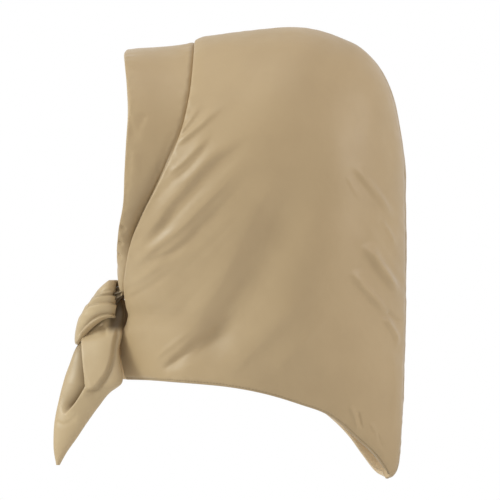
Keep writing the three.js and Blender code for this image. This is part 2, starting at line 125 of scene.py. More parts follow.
# Mesh steps: the inside of a wall takes every third place of its outside
COARSER = 3
PANEL_RIBS = 300
PANEL_ACROSS = 276
BRIM_STEPS = 420
BRIM_ACROSS = 56
WRAP_AROUND = 150
WRAP_DOWN = 90
TAIL_LEVELS = 220
TAIL_SIDES = 180
TIE_LEVELS = 40
TIE_SIDES = 60
RIB_SAMPLES = 400
# Shares of a grid, from each edge, where its steps are close together
PANEL_RIM = 0.016
BRIM_RIM = 0.06
WRAP_RIMS = (0.05, 0.04)
# Where the noise of each piece starts: left and right panel, brim, hanging ends
PANEL_SEEDS = (3, 7)
BRIM_SEED = 11
TAIL_SEED = 5

# The crown and back seam: y, z
SEAM = [
    (-96, -1.7), (-88, 1.8), (-70, 4.8), (-42, 8.2), (-20, 10), (0, 11.8), (25, 9.3), (50, 1.5),
    (70.5, -8.4), (88.5, -26.8), (100.8, -50), (110.8, -90), (115.8, -125), (116.4, -165), (117, -200),
    (116.8, -250), (115.8, -310), (114, -365), (112, -410), (110, -427), (107, -435.5), (103, -440.5),
]
# The lower hem: y, z, how far the right panel's hem droops
HEM = [
    (-165, -343, 0), (-137.5, -343.5, 0), (-94.5, -345.8, 0), (-53.5, -349.7, 0), (-13, -358, 0),
    (16.5, -367.4, 1), (41.5, -377, 9.5), (56.5, -388, 13), (69.5, -401, 16), (84.5, -416, 18),
    (98, -436.5, 6),
]
# The front edge of a panel: y, z, how far the right panel's edge laps forward
FRONT_EDGE = [
    (-96, -1.7, 0), (-94.5, -12, 0), (-94, -35, 0), (-96.3, -63, 0), (-102.3, -92, 0), (-113, -120, 0),
    (-128.2, -152, 0), (-143, -180, 0), (-154, -203, 0), (-161.5, -230, 0), (-165, -250, 0),
    (-164.2, -266, 3), (-162, -279, 6.5), (-164.2, -286, 6.5), (-169, -296, 6), (-170.7, -310, 7),
    (-169, -325, 8), (-165, -343, 5),
]
# Half widths of the hood at these shares of each rib, which runs from the seam to the hem
WIDTH_SHARES = (0.05, 0.12, 0.25, 0.45, 0.62, 0.75, 0.86, 1)
# The rib's share of the way to the tail, then its half widths
WIDTHS = [
    (0.0, 54, 76, 97, 99, 71, 37, 20, 10),
    (0.08, 60, 85, 108, 113, 95, 71, 51, 34),
    (0.18, 63, 90, 114, 120, 109, 94, 80, 66),
    (0.3, 57, 83, 110, 121, 115, 105, 94, 81),
    (0.45, 44, 67, 93, 112, 112, 107, 99, 88),
    (0.6, 31, 48, 70, 89, 95, 95, 91, 83),
    (0.75, 19, 30, 45, 59, 66, 68, 67, 63),
    (0.9, 9, 14, 21, 28, 32, 34, 34, 33),
    (1.0, 2, 3, 4, 5, 6, 6.5, 7, 7.5),
]
# The face edge of the brim: x, y, z
FACE_EDGE = [
    (0, -165, -14), (34, -163.7, -18), (60, -160.6, -28), (78, -157.2, -48), (90, -155.1, -76),
    (94.5, -156.5, -106), (93, -158.2, -136), (85, -160, -165), (70, -165.8, -192), (51, -168.2, -214),
    (32, -167.8, -228.5), (16, -168.2, -237.5),
]
# The wrap of the knot: share of the way down, half width, z at the sides, y at the front, z at the front
WRAP = [
    (0.0, 17.5, -241, -184.5, -244.5),
    (0.25, 28, -248.5, -196.8, -256),
    (0.5, 30, -259, -209, -273),
    (0.75, 32, -269, -215, -290),
    (1.0, 31, -280, -216.5, -307),
]
# Its thickness in the middle and at an edge, how far the edges dip, and the rounding of its lips and ends
WRAP_THICKNESS = 7
WRAP_EDGE = 3
WRAP_DIP = 2
WRAP_ROUND = (6, 12)
# The y of its sides, how deep its ends curl behind them and by what angle
WRAP_BACK = -180
WRAP_BACK_DEPTH = 15
WRAP_ENDS = math.pi * 0.2
# How suddenly it droops to its front, how far its top flares, and the distance over which its layers rise
WRAP_DROOP = 1.4
WRAP_FLARE = 0.5
LAYER_FADE = 2.5
# A tie: centre x, y, z, half width, half thickness
TIE = [
    (24, -164.5, -249.5, 11, 2.6), (21.5, -167.5, -252.5, 10, 3.6), (18.5, -172.8, -256.5, 9, 5.5),
    (16, -179.3, -262, 9, 6.5), (10.5, -184, -268, 7, 6.5),
]
# The direction in which it is wide, then the number and depth of its pleats
TIE_ACROSS = (0.92, 0.11, -0.36)
TIE_PLEATS = 7
TIE_PLEAT = 0.2
# How much shade is painted on it at its two ends, where 1 or more is the full painted shade
TIE_DARK = (0.2, 8)
# A pointed end: z, front y, back y, x of the front and of the back, half thickness
TAIL = [
    (-284, -198.5, -165.5, 7, 22, 8), (-298, -206.4, -166.8, 8, 28, 10),
    (-312, -215.2, -169.4, 9, 33, 11), (-326, -220.2, -167.4, 10, 36, 11.5),
    (-338, -224.4, -165, 11, 38, 11.5), (-346, -226.6, -166.6, 12, 38, 11),
    (-354, -228.8, -177.5, 13, 34, 10.5), (-368, -231.8, -189.3, 15, 31, 9.5),
    (-384, -234.7, -201, 17, 29, 8), (-400, -235.5, -211.8, 19, 27, 6.5),
    (-414, -234.9, -221.8, 21, 26, 4.5), (-427, -232.3, -229.4, 22, 24, 2),
]
# Its top, which the wrap hides
TAIL_TOP = [(-262, -190, -167, 6, 16, 5), (-273, -194, -164.5, 6.5, 20, 7)]
# How much narrower the right one is, below this height and over this fade, to hang behind the left one
RIGHT_TAIL_WIDTH = 0.9
NARROWED_BELOW = (-290, 40)
# The part with painted shade in the gap behind the knot: above this v and behind this u, with their fades
DARK_ABOVE = (-297, 10)
DARK_BEHIND = (-185, 7)
# Height and size of its bumps
TAIL_LUMPS = (0.6, 16)
# The share of its folds that shows on the far side, and the highest fold that does
TAIL_FAR_SIDE = (0.4, 3)

# Folds of a side panel: height, width at the start and at the end, then the places of its line in profile
PANEL_FOLDS = [
    # Short wrinkles that fan out from the seam with the brim
    (1.3, 1.8, 2.6, [(-111, -99), (-101.5, -86.5), (-92, -72), (-87, -64)]),
    (2.6, 2.8, 5.0, [(-114, -109), (-101, -98.5), (-91, -90.5), (-80, -80), (-64, -64)]),
    (1.5, 2.6, 4.0, [(-122, -137), (-108, -127), (-97, -116), (-88, -106), (-80, -95)]),
    (-1.1, 3.0, 5.0, [(-118, -144), (-102, -132), (-91, -119), (-83, -108), (-70, -92)]),
    # Long folds from the chin towards the crown
    (2.0, 5.0, 7.5, [(-154, -204), (-144.5, -195), (-132, -182.5), (-121.5, -167.5), (-112, -157),
                     (-101.5, -144.5), (-89, -131), (-77, -120), (-64.5, -111), (-52, -100), (-38, -91)]),
    (-2.5, 6.0, 9.5, [(-150, -211), (-139, -202), (-127, -189), (-116, -174), (-107, -163), (-96, -151),
                      (-84, -137), (-72, -126), (-59, -117), (-45, -106), (-30, -94)]),
    (1.8, 4.0, 7.0, [(-158, -230), (-137, -212), (-115, -195), (-97, -178), (-77, -158), (-59, -140),
                     (-41, -118)]),
    (-1.8, 4.0, 7.0, [(-150, -228), (-130, -220), (-105, -206), (-90, -190), (-74, -175), (-57, -158),
                      (-40, -138)]),
    (0.6, 2.8, 4.5, [(-164, -249), (-148, -240), (-130, -228), (-110, -216)]),
    (-0.7, 2.8, 4.0, [(-166, -262), (-146, -252), (-128, -240), (-108, -228)]),
    (1.8, 9.0, 12.0, [(-120, -306), (-96, -284), (-78, -258), (-60, -226), (-44, -194), (-30, -168),
                      (-16, -144), (-2, -118)]),
    # The main fold, pressed in at the lower front
    (-5.4, 12.0, 26.0, [(-112, -338), (-82, -306), (-60, -274), (-42, -246), (-26, -214), (-12, -182),
                        (2, -157), (16, -132), (28, -108)]),
    (-3.2, 4.5, 12.0, [(-132, -334), (-110, -319), (-94, -308), (-79, -298), (-64, -285), (-52, -266)]),
    (-1.6, 1.8, 5.0, [(-130, -333), (-116, -321), (-101, -309), (-88, -296)]),
    (1.0, 2.0, 3.2, [(-136, -322), (-112, -303), (-96, -290)]),
    (1.8, 9.0, 15.0, [(-66, -340), (-48, -322), (-28, -302), (-6, -279), (17, -256), (38, -228)]),
    (1.0, 7.0, 10.0, [(-18, -338), (-2, -320), (24, -290), (44, -266)]),
    # Wrinkles that run down into the back seam
    (3.0, 4.8, 3.8, [(62, -126), (72, -140), (82, -153), (93, -168), (106, -189)]),
    (0.8, 2.8, 2.4, [(56, -138), (62, -150), (70, -164)]),
    (1.6, 2.6, 2.2, [(90, -182), (98, -194), (106, -210)]),
    (6.4, 5.6, 4.2, [(72, -206), (80, -217), (88, -229), (95.5, -240), (103, -250.5), (110, -262)]),
    (3.8, 5.2, 4.0, [(60, -232), (69, -245), (79, -257), (90, -268), (100, -280)]),
    (3.2, 3.4, 3.0, [(92, -278), (99, -288), (105, -299), (107, -312)]),
    (-1.4, 2.4, 2.2, [(96, -272), (104, -279), (114, -287)]),
    (1.8, 6.0, 6.0, [(101, -306), (105, -345), (103, -400)]),
    # Puckers above the tail's hem
    (1.3, 2.5, 2.5, [(59, -366), (65, -381), (68, -396)]),
    (-1.2, 2.0, 2.0, [(68, -372), (72, -392)]),
    (1.1, 2.5, 2.5, [(80, -384), (89, -402)]),
    (-0.8, 2.2, 2.2, [(86, -392), (94, -412)]),
]

# Folds of the brim, in the same columns
BRIM_FOLDS = [
    (-0.9, 4.0, 6.0, [(-144, -78), (-150, -90), (-155, -108)]),
    (-0.6, 3.0, 4.0, [(-160, -80), (-157, -92), (-154, -106)]),
    (0.8, 4.5, 6.0, [(-155, -112), (-155, -126), (-156, -142), (-161, -166)]),
    (-2.2, 1.6, 1.8, [(-175, -184), (-168, -187), (-160, -190)]),
    (-2.2, 1.6, 1.8, [(-176, -200), (-168, -203), (-162, -206)]),
    (-2.2, 1.6, 1.8, [(-175, -213), (-168, -216), (-163, -220)]),
    (1.2, 1.8, 1.8, [(-175, -192), (-167, -196), (-161, -199)]),
]

# Overlapping layers: how high the layer on the left of the line is raised and over what width,
# how far the one on its right sinks and over what width, how much shade is painted there, then the line
WRAP_LAYERS = [
    (1.6, 4, 1.6, 1.6, 0.35, [(-176, -252), (-187, -254), (-194, -256), (-200, -261)]),
    (2.6, 5, 3.2, 2.4, 0.5, [(-170, -257.2), (-184, -257.8), (-193, -258.8), (-197.5, -261),
                             (-206, -269)]),
    (2.6, 6, 2.8, 2.4, 0.3, [(-170, -267.8), (-174, -266.5), (-184, -265.5), (-194, -266.5),
                             (-202.5, -270), (-212, -281)]),
    (1.0, 4, 1.2, 1.6, 0.15, [(-190, -278), (-198, -283), (-207, -290)]),
    (3.0, 6, 3.4, 2.4, 0.45, [(-168, -281), (-172, -279.2), (-179, -276.7), (-188, -277.7),
                              (-198.5, -282.8), (-205, -288.5), (-214, -299)]),
]
TAIL_LAYERS = [
    (4.5, 14, 11.0, 8, 0.7, [(-210, -296), (-209, -310), (-207, -332), (-206, -342), (-206, -348),
                             (-210, -356), (-216, -365), (-227, -377)]),
    (2.2, 9, 5.0, 4, 0.3, [(-204, -352), (-196, -351), (-189, -343), (-182, -331), (-179, -321),
                           (-177, -308), (-173, -288)]),
]
TAIL_FOLDS = [
    (-1.4, 2.4, 2.4, [(-205, -346), (-200, -351), (-194, -351)]),
    (1.2, 3.0, 3.0, [(-207, -357), (-198, -354), (-192, -350)]),
    (-1.6, 3.0, 3.0, [(-190, -286), (-186, -292), (-185, -300)]),
    (-0.5, 2.4, 2.4, [(-236, -382), (-227, -386), (-218, -381), (-209, -371)]),
]

# Colours: the cloth's two shades, its thread, a painted highlight on edges, painted shade, painted light
# inside, and the ties' painted lighter
CLOTH = ((0.405, 0.290, 0.159), (0.385, 0.274, 0.149))
THREAD = (0.26, 0.185, 0.10)
PAINTED_HIGHLIGHT = (0.62, 0.50, 0.34)
PAINTED_SHADE_COLOUR = (0.10, 0.065, 0.03)
PAINTED_INNER_LIGHT = (0.62, 0.46, 0.27)
# The knot's, tails' and ties' colours are the same cloth painted lighter, as if more lit
TIE_CLOTH_PAINTED_LIGHTER = ((0.45, 0.335, 0.19), (0.435, 0.32, 0.182))
# The cloth's gloss, its least and most roughness, and its sheen's weight and roughness
SPECULAR = 0.4
ROUGHNESS = (0.4, 0.5)
SHEEN = (0.08, 0.35)
# Noise of its shade, of its gloss and of its small creases: scale, detail and distortion
SHADE_NOISE = (16, 4, 0)
GLOSS_NOISE = (40, 3, 0)
CREASE_NOISE = (60, 3, 0.6)
# The noise values between which the shade and the gloss change
SHADE_RANGE = (0.35, 0.65)
GLOSS_RANGE = (0.3, 0.7)
# Depth in millimetres and strength of the bumps of its creases, weave and stitches
CREASE_BUMP = (0.9, 0.3)
WEAVE_BUMP = (0.05, 0.25)
STITCH_BUMP = (0.3, 0.6)
# The distances from a panel's front edge between which a painted highlight on its lip fades in, and how
# strong it then is
PAINTED_HIGHLIGHT_EDGE = (2.2, 0.6)
PAINTED_HIGHLIGHT_STRENGTH = 0.6
# Scale of the weave, whose threads are a third of a millimetre apart, and how uneven they are
THREADS = 900
THREAD_WAVER = 0.8
# The share of a panel's fold over which it rises at its start
PANEL_FOLD_START = 0.2
# How much wider a ridge is on the left of its line than on the right; a valley is the other way round
FOLD_LEAN = 0.3
# Fine streaks in the cloth: height, length, width and slope in degrees in profile, then the place and
# reach where they show
STREAKS = [(0.7, 60, 8, 46, (-120, -190), (70, 110)), (0.6, 50, 7, -55, (105, -215), (35, 95))]
# Uneven stuffing: height and size of the bumps, and of the puckers that fade away from a seam
LUMPS = (0.7, 34)
PUCKERS = (0.7, 7, 9)
# How much shade is painted along the back seam and along the hem, and over what distance from them
SEAM_SHADED = (0.3, 7)
HEM_SHADED = (0.5, 1.2)
# The hem's stitches: distance from the edge, length of a stitch, depth and width of its groove, width of
# its full colour, and the sine values between which a stitch ends
STITCH_LINE = 3.2
STITCH_LENGTH = 3.4
STITCH_DEPTH = 0.5
STITCH_WIDTH = 0.7
STITCH_CORE = 0.3
STITCH_ENDS = (-0.6, -0.2)


def smooth(t):
    t = np.clip(t, 0, 1)
    return t * t * (3 - 2 * t)


def mix(a, b, t):
    return a + (b - a) * t


def pillow(distance, radius):
    """A quarter circle: 0 at the edge of a pad, 1 where it is full."""
    return np.sqrt(1 - (1 - np.clip(distance / radius, 0, 1)) ** 2)


def through(places, values):
    """A smooth curve through rows of values at rising places."""
    places, values = np.array(places, float), np.array(values, float)
    steps = np.diff(places)
    slopes = np.diff(values, axis=0) / steps[:, None]
    before, after = steps[:-1, None], steps[1:, None]
    inner = (slopes[:-1] * after + slopes[1:] * before) / (before + after)
    tangents = np.vstack([slopes[:1], inner, slopes[-1:]])

    def at(place):
        place = np.clip(np.atleast_1d(np.array(place, float)), places[0], places[-1])
        i = np.clip(np.searchsorted(places, place, side="right") - 1, 0, len(steps) - 1)
        step = steps[i][:, None]
        t = (place - places[i])[:, None] / step
        return (
            values[i] * (1 + 2 * t) * (1 - t) ** 2
            + tangents[i] * step * t * (1 - t) ** 2
            + values[i + 1] * t * t * (3 - 2 * t)
            + tangents[i + 1] * step * t * t * (t - 1)
        )

    return at


def lengths_along(points, axis=0):
    """Distances from the first points along an axis of a chain or grid of points."""
    steps = np.linalg.norm(np.diff(points, axis=axis), axis=-1)
    start = np.zeros_like(np.take(steps, [0], axis=axis))
    return np.concatenate([start, np.cumsum(steps, axis=axis)], axis=axis)


def along(rows, measured):
    """The rows of a table as a curve by share of the length of its first measured columns."""
    rows = np.array(rows, float)
    distances = lengths_along(rows[:, :measured])
    return through(distances / distances[-1], rows)


def dot(a, b):
    return (a * b).sum(axis=-1, keepdims=True)


def unit(vectors):
    return vectors / np.linalg.norm(vectors, axis=-1, keepdims=True)


def shares(steps, near_edge):
    """Even shares from 0 to 1, closer together at both ends, where an edge is rounded."""
    dense = np.array([0, 0.05, 0.12, 0.2, 0.3, 0.42, 0.56, 0.7, 0.84]) * near_edge
    middle = np.linspace(near_edge, 1 - near_edge, steps + 1 - 2 * len(dense))
    return np.concatenate([dense, middle, 1 - dense[::-1]])


def grid_normals(grid):
    """Unit normals of a grid of points, out of the hood where rows run from the front to the tail."""
    return unit(np.cross(np.gradient(grid, axis=1), np.gradient(grid, axis=0)))


def profile(points):
    """The places (u, v) of points in the side view."""
    return points[..., 1] - PROFILE_TURN * np.abs(points[..., 0]), points[..., 2]


def beside(u, v, line):
    """Distances of places from a line in profile, positive on its left, and how far along it they are."""
    steps = 6 * (len(line) - 1)
    curve = along(line, 2)(np.linspace(0, 1, steps + 1))
    best = np.full(u.shape, np.inf)
    side, share = np.zeros(u.shape), np.zeros(u.shape)
    for k, (start, end) in enumerate(zip(curve[:-1], curve[1:])):
        run = end - start
        t = np.clip(((u - start[0]) * run[0] + (v - start[1]) * run[1]) / (run @ run), 0, 1)
        du, dv = u - start[0] - t * run[0], v - start[1] - t * run[1]
        distance = np.hypot(du, dv)
        closer = distance < best
        best = np.where(closer, distance, best)
        side = np.where(closer, run[0] * dv - run[1] * du, side)
        share = np.where(closer, (k + t) / steps, share)
    return np.copysign(best, side), share


def near(u, v, line, reach):
    """Which places are within reach of a line's box."""
    low, high = np.min(line, axis=0) - reach, np.max(line, axis=0) + reach
    return (u > low[0]) & (u < high[0]) & (v > low[1]) & (v < high[1])


def fold_heights(u, v, folds, start_fade=0.1, end_fade=0.4):
    """How far round folds and valleys move a surface at places in profile."""
    heights = np.zeros(u.shape)
    for height, wide_start, wide_end, line in folds:
        chosen = near(u, v, line, 3.5 * max(wide_start, wide_end))
        distance, share = beside(u[chosen], v[chosen], line)
        wide = mix(wide_start, wide_end, share) * (1 + math.copysign(FOLD_LEAN, height) * np.sign(distance))
        fade = smooth(share / start_fade) * smooth((1 - share) / end_fade)
        heights[chosen] += height * fade * np.exp(-((distance / wide) ** 2))
    return heights


def layer_heights(u, v, layers, soft=0.5, start_fade=0.1, end_fade=0.15):
    """How far overlapping layers lift a surface to a lip and sink it in a groove, and the shade painted in
    the groove.
    """
    heights, shade = np.zeros(u.shape), np.zeros(u.shape)
    for raised, wide, sunk, narrow, dark, line in layers:
        chosen = near(u, v, line, 3.5 * wide)
        distance, share = beside(u[chosen], v[chosen], line)
        lip = 1 / (1 + np.exp(-np.clip(distance / soft, -30, 30)))
        fade = smooth(share / start_fade) * smooth((1 - share) / end_fade)
        over = fade * lip * np.exp(-np.maximum(distance, 0) / wide)
        under = fade * (1 - lip) * np.exp(np.minimum(distance, 0) / narrow)
        heights[chosen] += raised * over - sunk * under
        # Painted shade in the groove beside a lip
        shade[chosen] = np.maximum(shade[chosen], dark * under)
    return heights, shade


def quads(index):
    """The faces between neighbours in a grid of point numbers."""
    return np.stack([index[:-1, :-1], index[:-1, 1:], index[1:, 1:], index[1:, :-1]], axis=-1).reshape(-1, 4)


def wall_mesh(name, outer, inner, flipped, places=None):
    """A closed wall between an outer grid and a coarser inner one, in millimetres."""
    rows, columns = outer.shape[:2]
    low_rows, low_columns = inner.shape[:2]
    out = np.arange(rows * columns).reshape(rows, columns)
    inn = rows * columns + np.arange(low_rows * low_columns).reshape(low_rows, low_columns)
    faces = quads(out).tolist() + quads(inn)[:, [0, 3, 2, 1]].tolist()

    def rim(fine, coarse, turned):
        step = (len(fine) - 1) // (len(coarse) - 1)
        for k in range(len(coarse) - 1):
            face = [*fine[k * step : (k + 1) * step + 1], coarse[k + 1], coarse[k]]
            faces.append([int(i) for i in (face[::-1] if turned else face)])

    rim(out[:, 0], inn[:, 0], False)
    rim(out[:, -1], inn[:, -1], True)
    rim(out[0, :], inn[0, :], True)
    rim(out[-1, :], inn[-1, :], False)
    piece = new_piece(name, np.concatenate([outer.reshape(-1, 3), inner.reshape(-1, 3)]), faces, flipped)
    for key, grid in (places or {}).items():
        add_places(piece, key, np.concatenate([grid.ravel(), grid[::COARSER, ::COARSER].ravel()]))
    # Marks the inner faces, which the material paints lighter, as if lit
    add_places(piece, "inner_face", np.concatenate([np.zeros(out.size), np.ones(inn.size)]))
    return piece


def loft_mesh(name, rings, flipped, shade=None):
    """A solid through closed rings of equal size, with flat ends, in millimetres."""
    count, sides = rings.shape[:2]
    index = np.arange(count * sides).reshape(count, sides)
    faces = quads(np.concatenate([index, index[:, :1]], axis=1)).tolist()
    faces += [index[0, ::-1].tolist(), index[-1].tolist()]
    piece = new_piece(name, rings.reshape(-1, 3), faces, flipped)
    if shade is not None:
        add_places(piece, "painted_shade", shade.ravel())
    return piece


def new_piece(name, points, faces, flipped):
    mesh = bpy.data.meshes.new(name)
    mesh.from_pydata((points * MM).tolist(), [], [face[::-1] for face in faces] if flipped else faces)
    mesh.update()
    mesh.shade_smooth()
    piece = bpy.data.objects.new(name, mesh)
    bpy.context.scene.collection.objects.link(piece)
    return piece


def add_places(piece, key, values):
    """Keeps a number for each point of a piece, which its material reads."""
    piece.data.attributes.new(key, "FLOAT", "POINT").data.foreach_set("value", values.astype(np.float32))


def mirrored(points):
    return points * (-1, 1, 1)


def panel_base(is_right):
    """The ribs of a side panel's middle surface, as if it were the left one."""
    rib_shares = shares(PANEL_RIBS, PANEL_RIM)
    seam, hem = along(SEAM, 2)(rib_shares), along(HEM, 2)(rib_shares)
    widths = np.array(WIDTHS, float)
    rib_widths = through(widths[:, 0], widths[:, 1:])(rib_shares)
    down = (np.arange(RIB_SAMPLES + 1) / RIB_SAMPLES) ** 2
    edge = along(FRONT_EDGE, 2)(down)
    first, last = edge[0], edge[-1]
    places = shares(PANEL_ACROSS, PANEL_RIM)
    grid = np.zeros((len(rib_shares), len(places), 3))
    for i, share in enumerate(rib_shares):
        known = np.concatenate([[0], rib_widths[i] ** 2])[:, None]
        squares = through((0, *WIDTH_SHARES), known)(down)[:, 0]
        x = np.hypot(np.sqrt(np.maximum(squares, 0)), SEAM_GAP / 2)
        bow = 1 - smooth(share / BOWED_RIBS)
        edge_y = edge[:, 0] - (edge[:, 2] if is_right else 0)
        y = mix(seam[i, 0], hem[i, 0], down) + bow * (edge_y - mix(first[0], last[0], down))
        hem_z = hem[i, 1] - (hem[i, 2] if is_right else 0)
        z = mix(seam[i, 1], hem_z, down) + bow * (edge[:, 1] - mix(first[1], last[1], down))
        line = np.stack([x, y, z], axis=1)
        lengths = lengths_along(line)
        for c in range(3):
            grid[i, :, c] = np.interp(places * lengths[-1], lengths, line[:, c])
    return grid


def from_edges(grid):
    """Distances along a grid of its points from its first and last row, and its first and last column."""
    down, across = lengths_along(grid), lengths_along(grid, 1)
    return down, down[-1:] - down, across, across[:, -1:] - across


def rough(points, size, seed):
    """Smooth random heights from -1 to 1, with bumps of about that size."""
    flat = points.reshape(-1, 3) / size + seed
    return np.array([noise.noise(Vector(p)) for p in flat]).reshape(points.shape[:-1])


def streaks(u, v, seed):
    """Long narrow random wrinkles."""
    heights = np.zeros(u.shape)
    for height, length, width, slope, place, reach in STREAKS:
        turn = math.radians(slope)
        along_them = (u * math.cos(turn) + v * math.sin(turn)) / length
        across_them = (v * math.cos(turn) - u * math.sin(turn)) / width
        pattern = rough(np.stack([along_them, across_them, np.zeros_like(u)], axis=-1), 1, seed)
        shown = np.exp(-(((u - place[0]) / reach[0]) ** 2) - ((v - place[1]) / reach[1]) ** 2)
        heights += height * pattern * shown
    return heights


def panel_surfaces(is_right):
    """The outer and inner surfaces of a side panel, as if it were the left one, and its seams' places."""
    base = panel_base(is_right)
    normals = grid_normals(base)
    normals[:, 0, 0] = 0
    normals = unit(normals)
    front, tip, seam, hem = from_edges(base)
    full = np.minimum(
        np.minimum(pillow(seam, ROUND_AT_SEAM), pillow(hem, ROUND_AT_HEM)),
        np.minimum(pillow(front, ROUND_AT_FRONT), pillow(tip, ROUND_AT_TIP)),
    )
    nearest = np.minimum(np.minimum(seam, hem), np.minimum(front, tip))
    u, v = profile(base)
    seed = PANEL_SEEDS[is_right]
    folds = fold_heights(u, v, PANEL_FOLDS, PANEL_FOLD_START) + streaks(u, v, seed)
    folds = folds + LUMPS[0] * rough(base, LUMPS[1], seed)
    puckers = PUCKERS[0] * rough(base, PUCKERS[1], seed) * np.exp(-((nearest / PUCKERS[2]) ** 2))
    stitches = -STITCH_DEPTH * np.exp(-(((hem - STITCH_LINE) / STITCH_WIDTH) ** 2))
    puffed = -PANEL_DIP * (1 - full)
    lift = puffed + folds * smooth(nearest / FOLD_FADE) + puckers * smooth(nearest / PUCKER_FADE) + stitches
    under = mix(-PANEL_DIP, puffed + INSIDE_FOLDS * folds, full) - PANEL_EDGE - PANEL_WADDING * full
    lift, under = rounded(lift, under, nearest, PANEL_EDGE)
    outer = base + normals * lift[..., None]
    inner = base + normals * under[..., None]
    for surface in (outer, inner):
        surface[..., 0] = np.maximum(surface[..., 0], SEAM_GAP / 2)
    sewn = base[0] + normals[0] * (-PANEL_DIP - PANEL_EDGE / 2)
    # Painted shade along the back seam and at the hem
    painted_shade = SEAM_SHADED[0] * np.exp(-seam / SEAM_SHADED[1]) + HEM_SHADED[0] * np.exp(-hem / HEM_SHADED[1])
    places = {"painted_shade": painted_shade, "hem": hem, "run": front}
    return outer, inner[::COARSER, ::COARSER], sewn, normals[0], places


def rounded(top, bottom, nearest, edge):
    """Heights of a wall's two faces, brought together on a half circle at its edge."""
    middle, half = (top + bottom) / 2, (top - bottom) / 2
    half = half * mix(THINNEST, 1, pillow(nearest, edge / 2))
    return middle + half, middle - half


def rows_at(rows, share):
    """Points at shares of a chain of points, by its places."""
    place = np.clip(share, 0, 1) * (len(rows) - 1)
    i = np.clip(np.floor(place).astype(int), 0, len(rows) - 2)
    return mix(rows[i], rows[i + 1], (place - i)[:, None])


def evenly(rows, steps):
    lengths = lengths_along(rows)
    places = np.linspace(0, lengths[-1], steps + 1)
    return np.stack([np.interp(places, lengths, rows[:, c]) for c in range(rows.shape[1])], axis=1)


def brim_rings(sewn, sewn_normals):
    """Closed sections of the brim, from the right chin over the crown to the left chin."""
    chain = evenly(np.concatenate([sewn, sewn_normals], axis=1), SEWN_STEPS)
    half = np.linspace(0, 1, BRIM_STEPS // 2 + 1)
    back_rows = rows_at(chain, half * BRIM_END)
    back, up = back_rows[:, :3], unit(back_rows[:, 3:])
    back[0, 0] = 0
    up[0, 0] = 0
    tangent = unit(np.gradient(back, axis=0))
    tangent[0] = (1, 0, 0)
    back = back - unit(np.cross(up, tangent)) * PIECE_GAP
    front = along(FACE_EDGE, 3)(half)
    face = unit(np.cross(front - back, tangent))
    across = shares(BRIM_ACROSS, BRIM_RIM)
    t = across[None, :, None]
    middle = mix(back[:, None], front[:, None], t)
    turned = unit(mix(up[:, None], face[:, None], smooth(t / BRIM_TURN)))
    wide = np.linalg.norm(front - back, axis=1)[:, None]
    nearest = wide * np.minimum(across, 1 - across)
    at_seam = pillow(wide * across, np.clip(ROUND_BY_SEAM * wide, 1, BRIM_ROUND))
    beside_face = smooth((half - BESIDE_FACE[0]) / BESIDE_FACE[1])[:, None]
    round_by_face = mix(*ROUND_BY_FACE, beside_face) * wide
    at_face = pillow(wide * (1 - across), np.maximum(round_by_face, 1))
    full = np.minimum(at_seam, at_face)
    thick = mix(BRIM_EDGE, mix(*BRIM_THICKNESS, beside_face), full) / 2
    top, bottom = rounded(thick, -thick, nearest, BRIM_EDGE)
    from_seam = wide[..., None] * t
    sinks = np.array(BRIM_SINK, float)
    depth, reach = through(sinks[:, 0], sinks[:, 1:])(half).T[..., None, None]
    sink = depth * np.exp(-((from_seam / reach) ** 2)) * smooth(from_seam / SINK_START)
    tuck = BRIM_TUCK[0] * np.exp(-((from_seam / BRIM_TUCK[1]) ** 2))
    near_chin = smooth((half[:, None, None] - DIP_FADE[0]) / DIP_FADE[1])
    dip = BRIM_DIP * np.sin(np.pi * t**DIP_POWER) * (1 - near_chin)
    middle = middle - face[:, None] * (sink + dip) - up[:, None] * tuck
    folds = fold_heights(*profile(middle), BRIM_FOLDS)
    folds = folds + BRIM_LUMPS * LUMPS[0] * rough(middle, LUMPS[1], BRIM_SEED)
    puckers = PUCKERS[0] * rough(middle, PUCKERS[1], BRIM_SEED) * np.exp(-((nearest / PUCKERS[2]) ** 2))
    top = top + folds * smooth(nearest / FOLD_FADE) + puckers * smooth(nearest / PUCKER_FADE)
    outer = middle + turned * top[..., None]
    inner = middle + turned * bottom[..., None]
    rings = np.concatenate([outer, inner[:, ::-1]], axis=1)
    # Painted shade beside the seam, growing with the sink
    shade = (depth / BRIM_SHADED * np.exp(-from_seam / reach))[..., 0]
    shade = np.concatenate([shade, 0 * shade], axis=1)
    return np.concatenate([mirrored(rings[:0:-1]), rings]), np.concatenate([shade[:0:-1], shade])


def wrap_surfaces():
    """The outer and inner surfaces of the wrap of the knot."""
    down = shares(WRAP_DOWN, WRAP_RIMS[0])
    rows = np.array(WRAP, float)
    side, side_z, front, front_z = through(rows[:, 0], rows[:, 1:])(down).T[..., None]
    around = shares(WRAP_AROUND, WRAP_RIMS[1])
    turn = mix(-WRAP_ENDS, math.pi + WRAP_ENDS, around)[None, :]
    cos, sin = np.cos(turn), np.sin(turn)
    reach = np.where(sin > 0, WRAP_BACK - front, WRAP_BACK_DEPTH)
    z = mix(side_z, front_z, np.clip(sin, 0, 1) ** WRAP_DROOP)
    points = np.stack([side * cos, WRAP_BACK - reach * sin, z], axis=-1)
    outward = unit(np.stack([cos * reach, -sin * side, np.zeros_like(z)], axis=-1))
    outward[..., 2] = WRAP_FLARE * (1 - down)[:, None]
    outward = unit(outward)
    from_top, from_rim, from_start, from_end = from_edges(points)
    from_lips, from_sides = np.minimum(from_top, from_rim), np.minimum(from_start, from_end)
    full = np.minimum(pillow(from_lips, WRAP_ROUND[0]), pillow(from_sides, WRAP_ROUND[1]))
    lift = -WRAP_DIP * (1 - full)
    thick = mix(WRAP_EDGE, WRAP_THICKNESS, full)
    nearest = np.minimum(from_lips, from_sides)
    top, bottom = rounded(lift, lift - thick, nearest, WRAP_EDGE)
    u, v = profile(points)
    heights, shade = layer_heights(u, v, WRAP_LAYERS)
    outer = points + outward * (top + heights * smooth(nearest / LAYER_FADE))[..., None]
    inner = points + outward * bottom[..., None]
    return outer, inner[::COARSER, ::COARSER], {"painted_shade": shade}


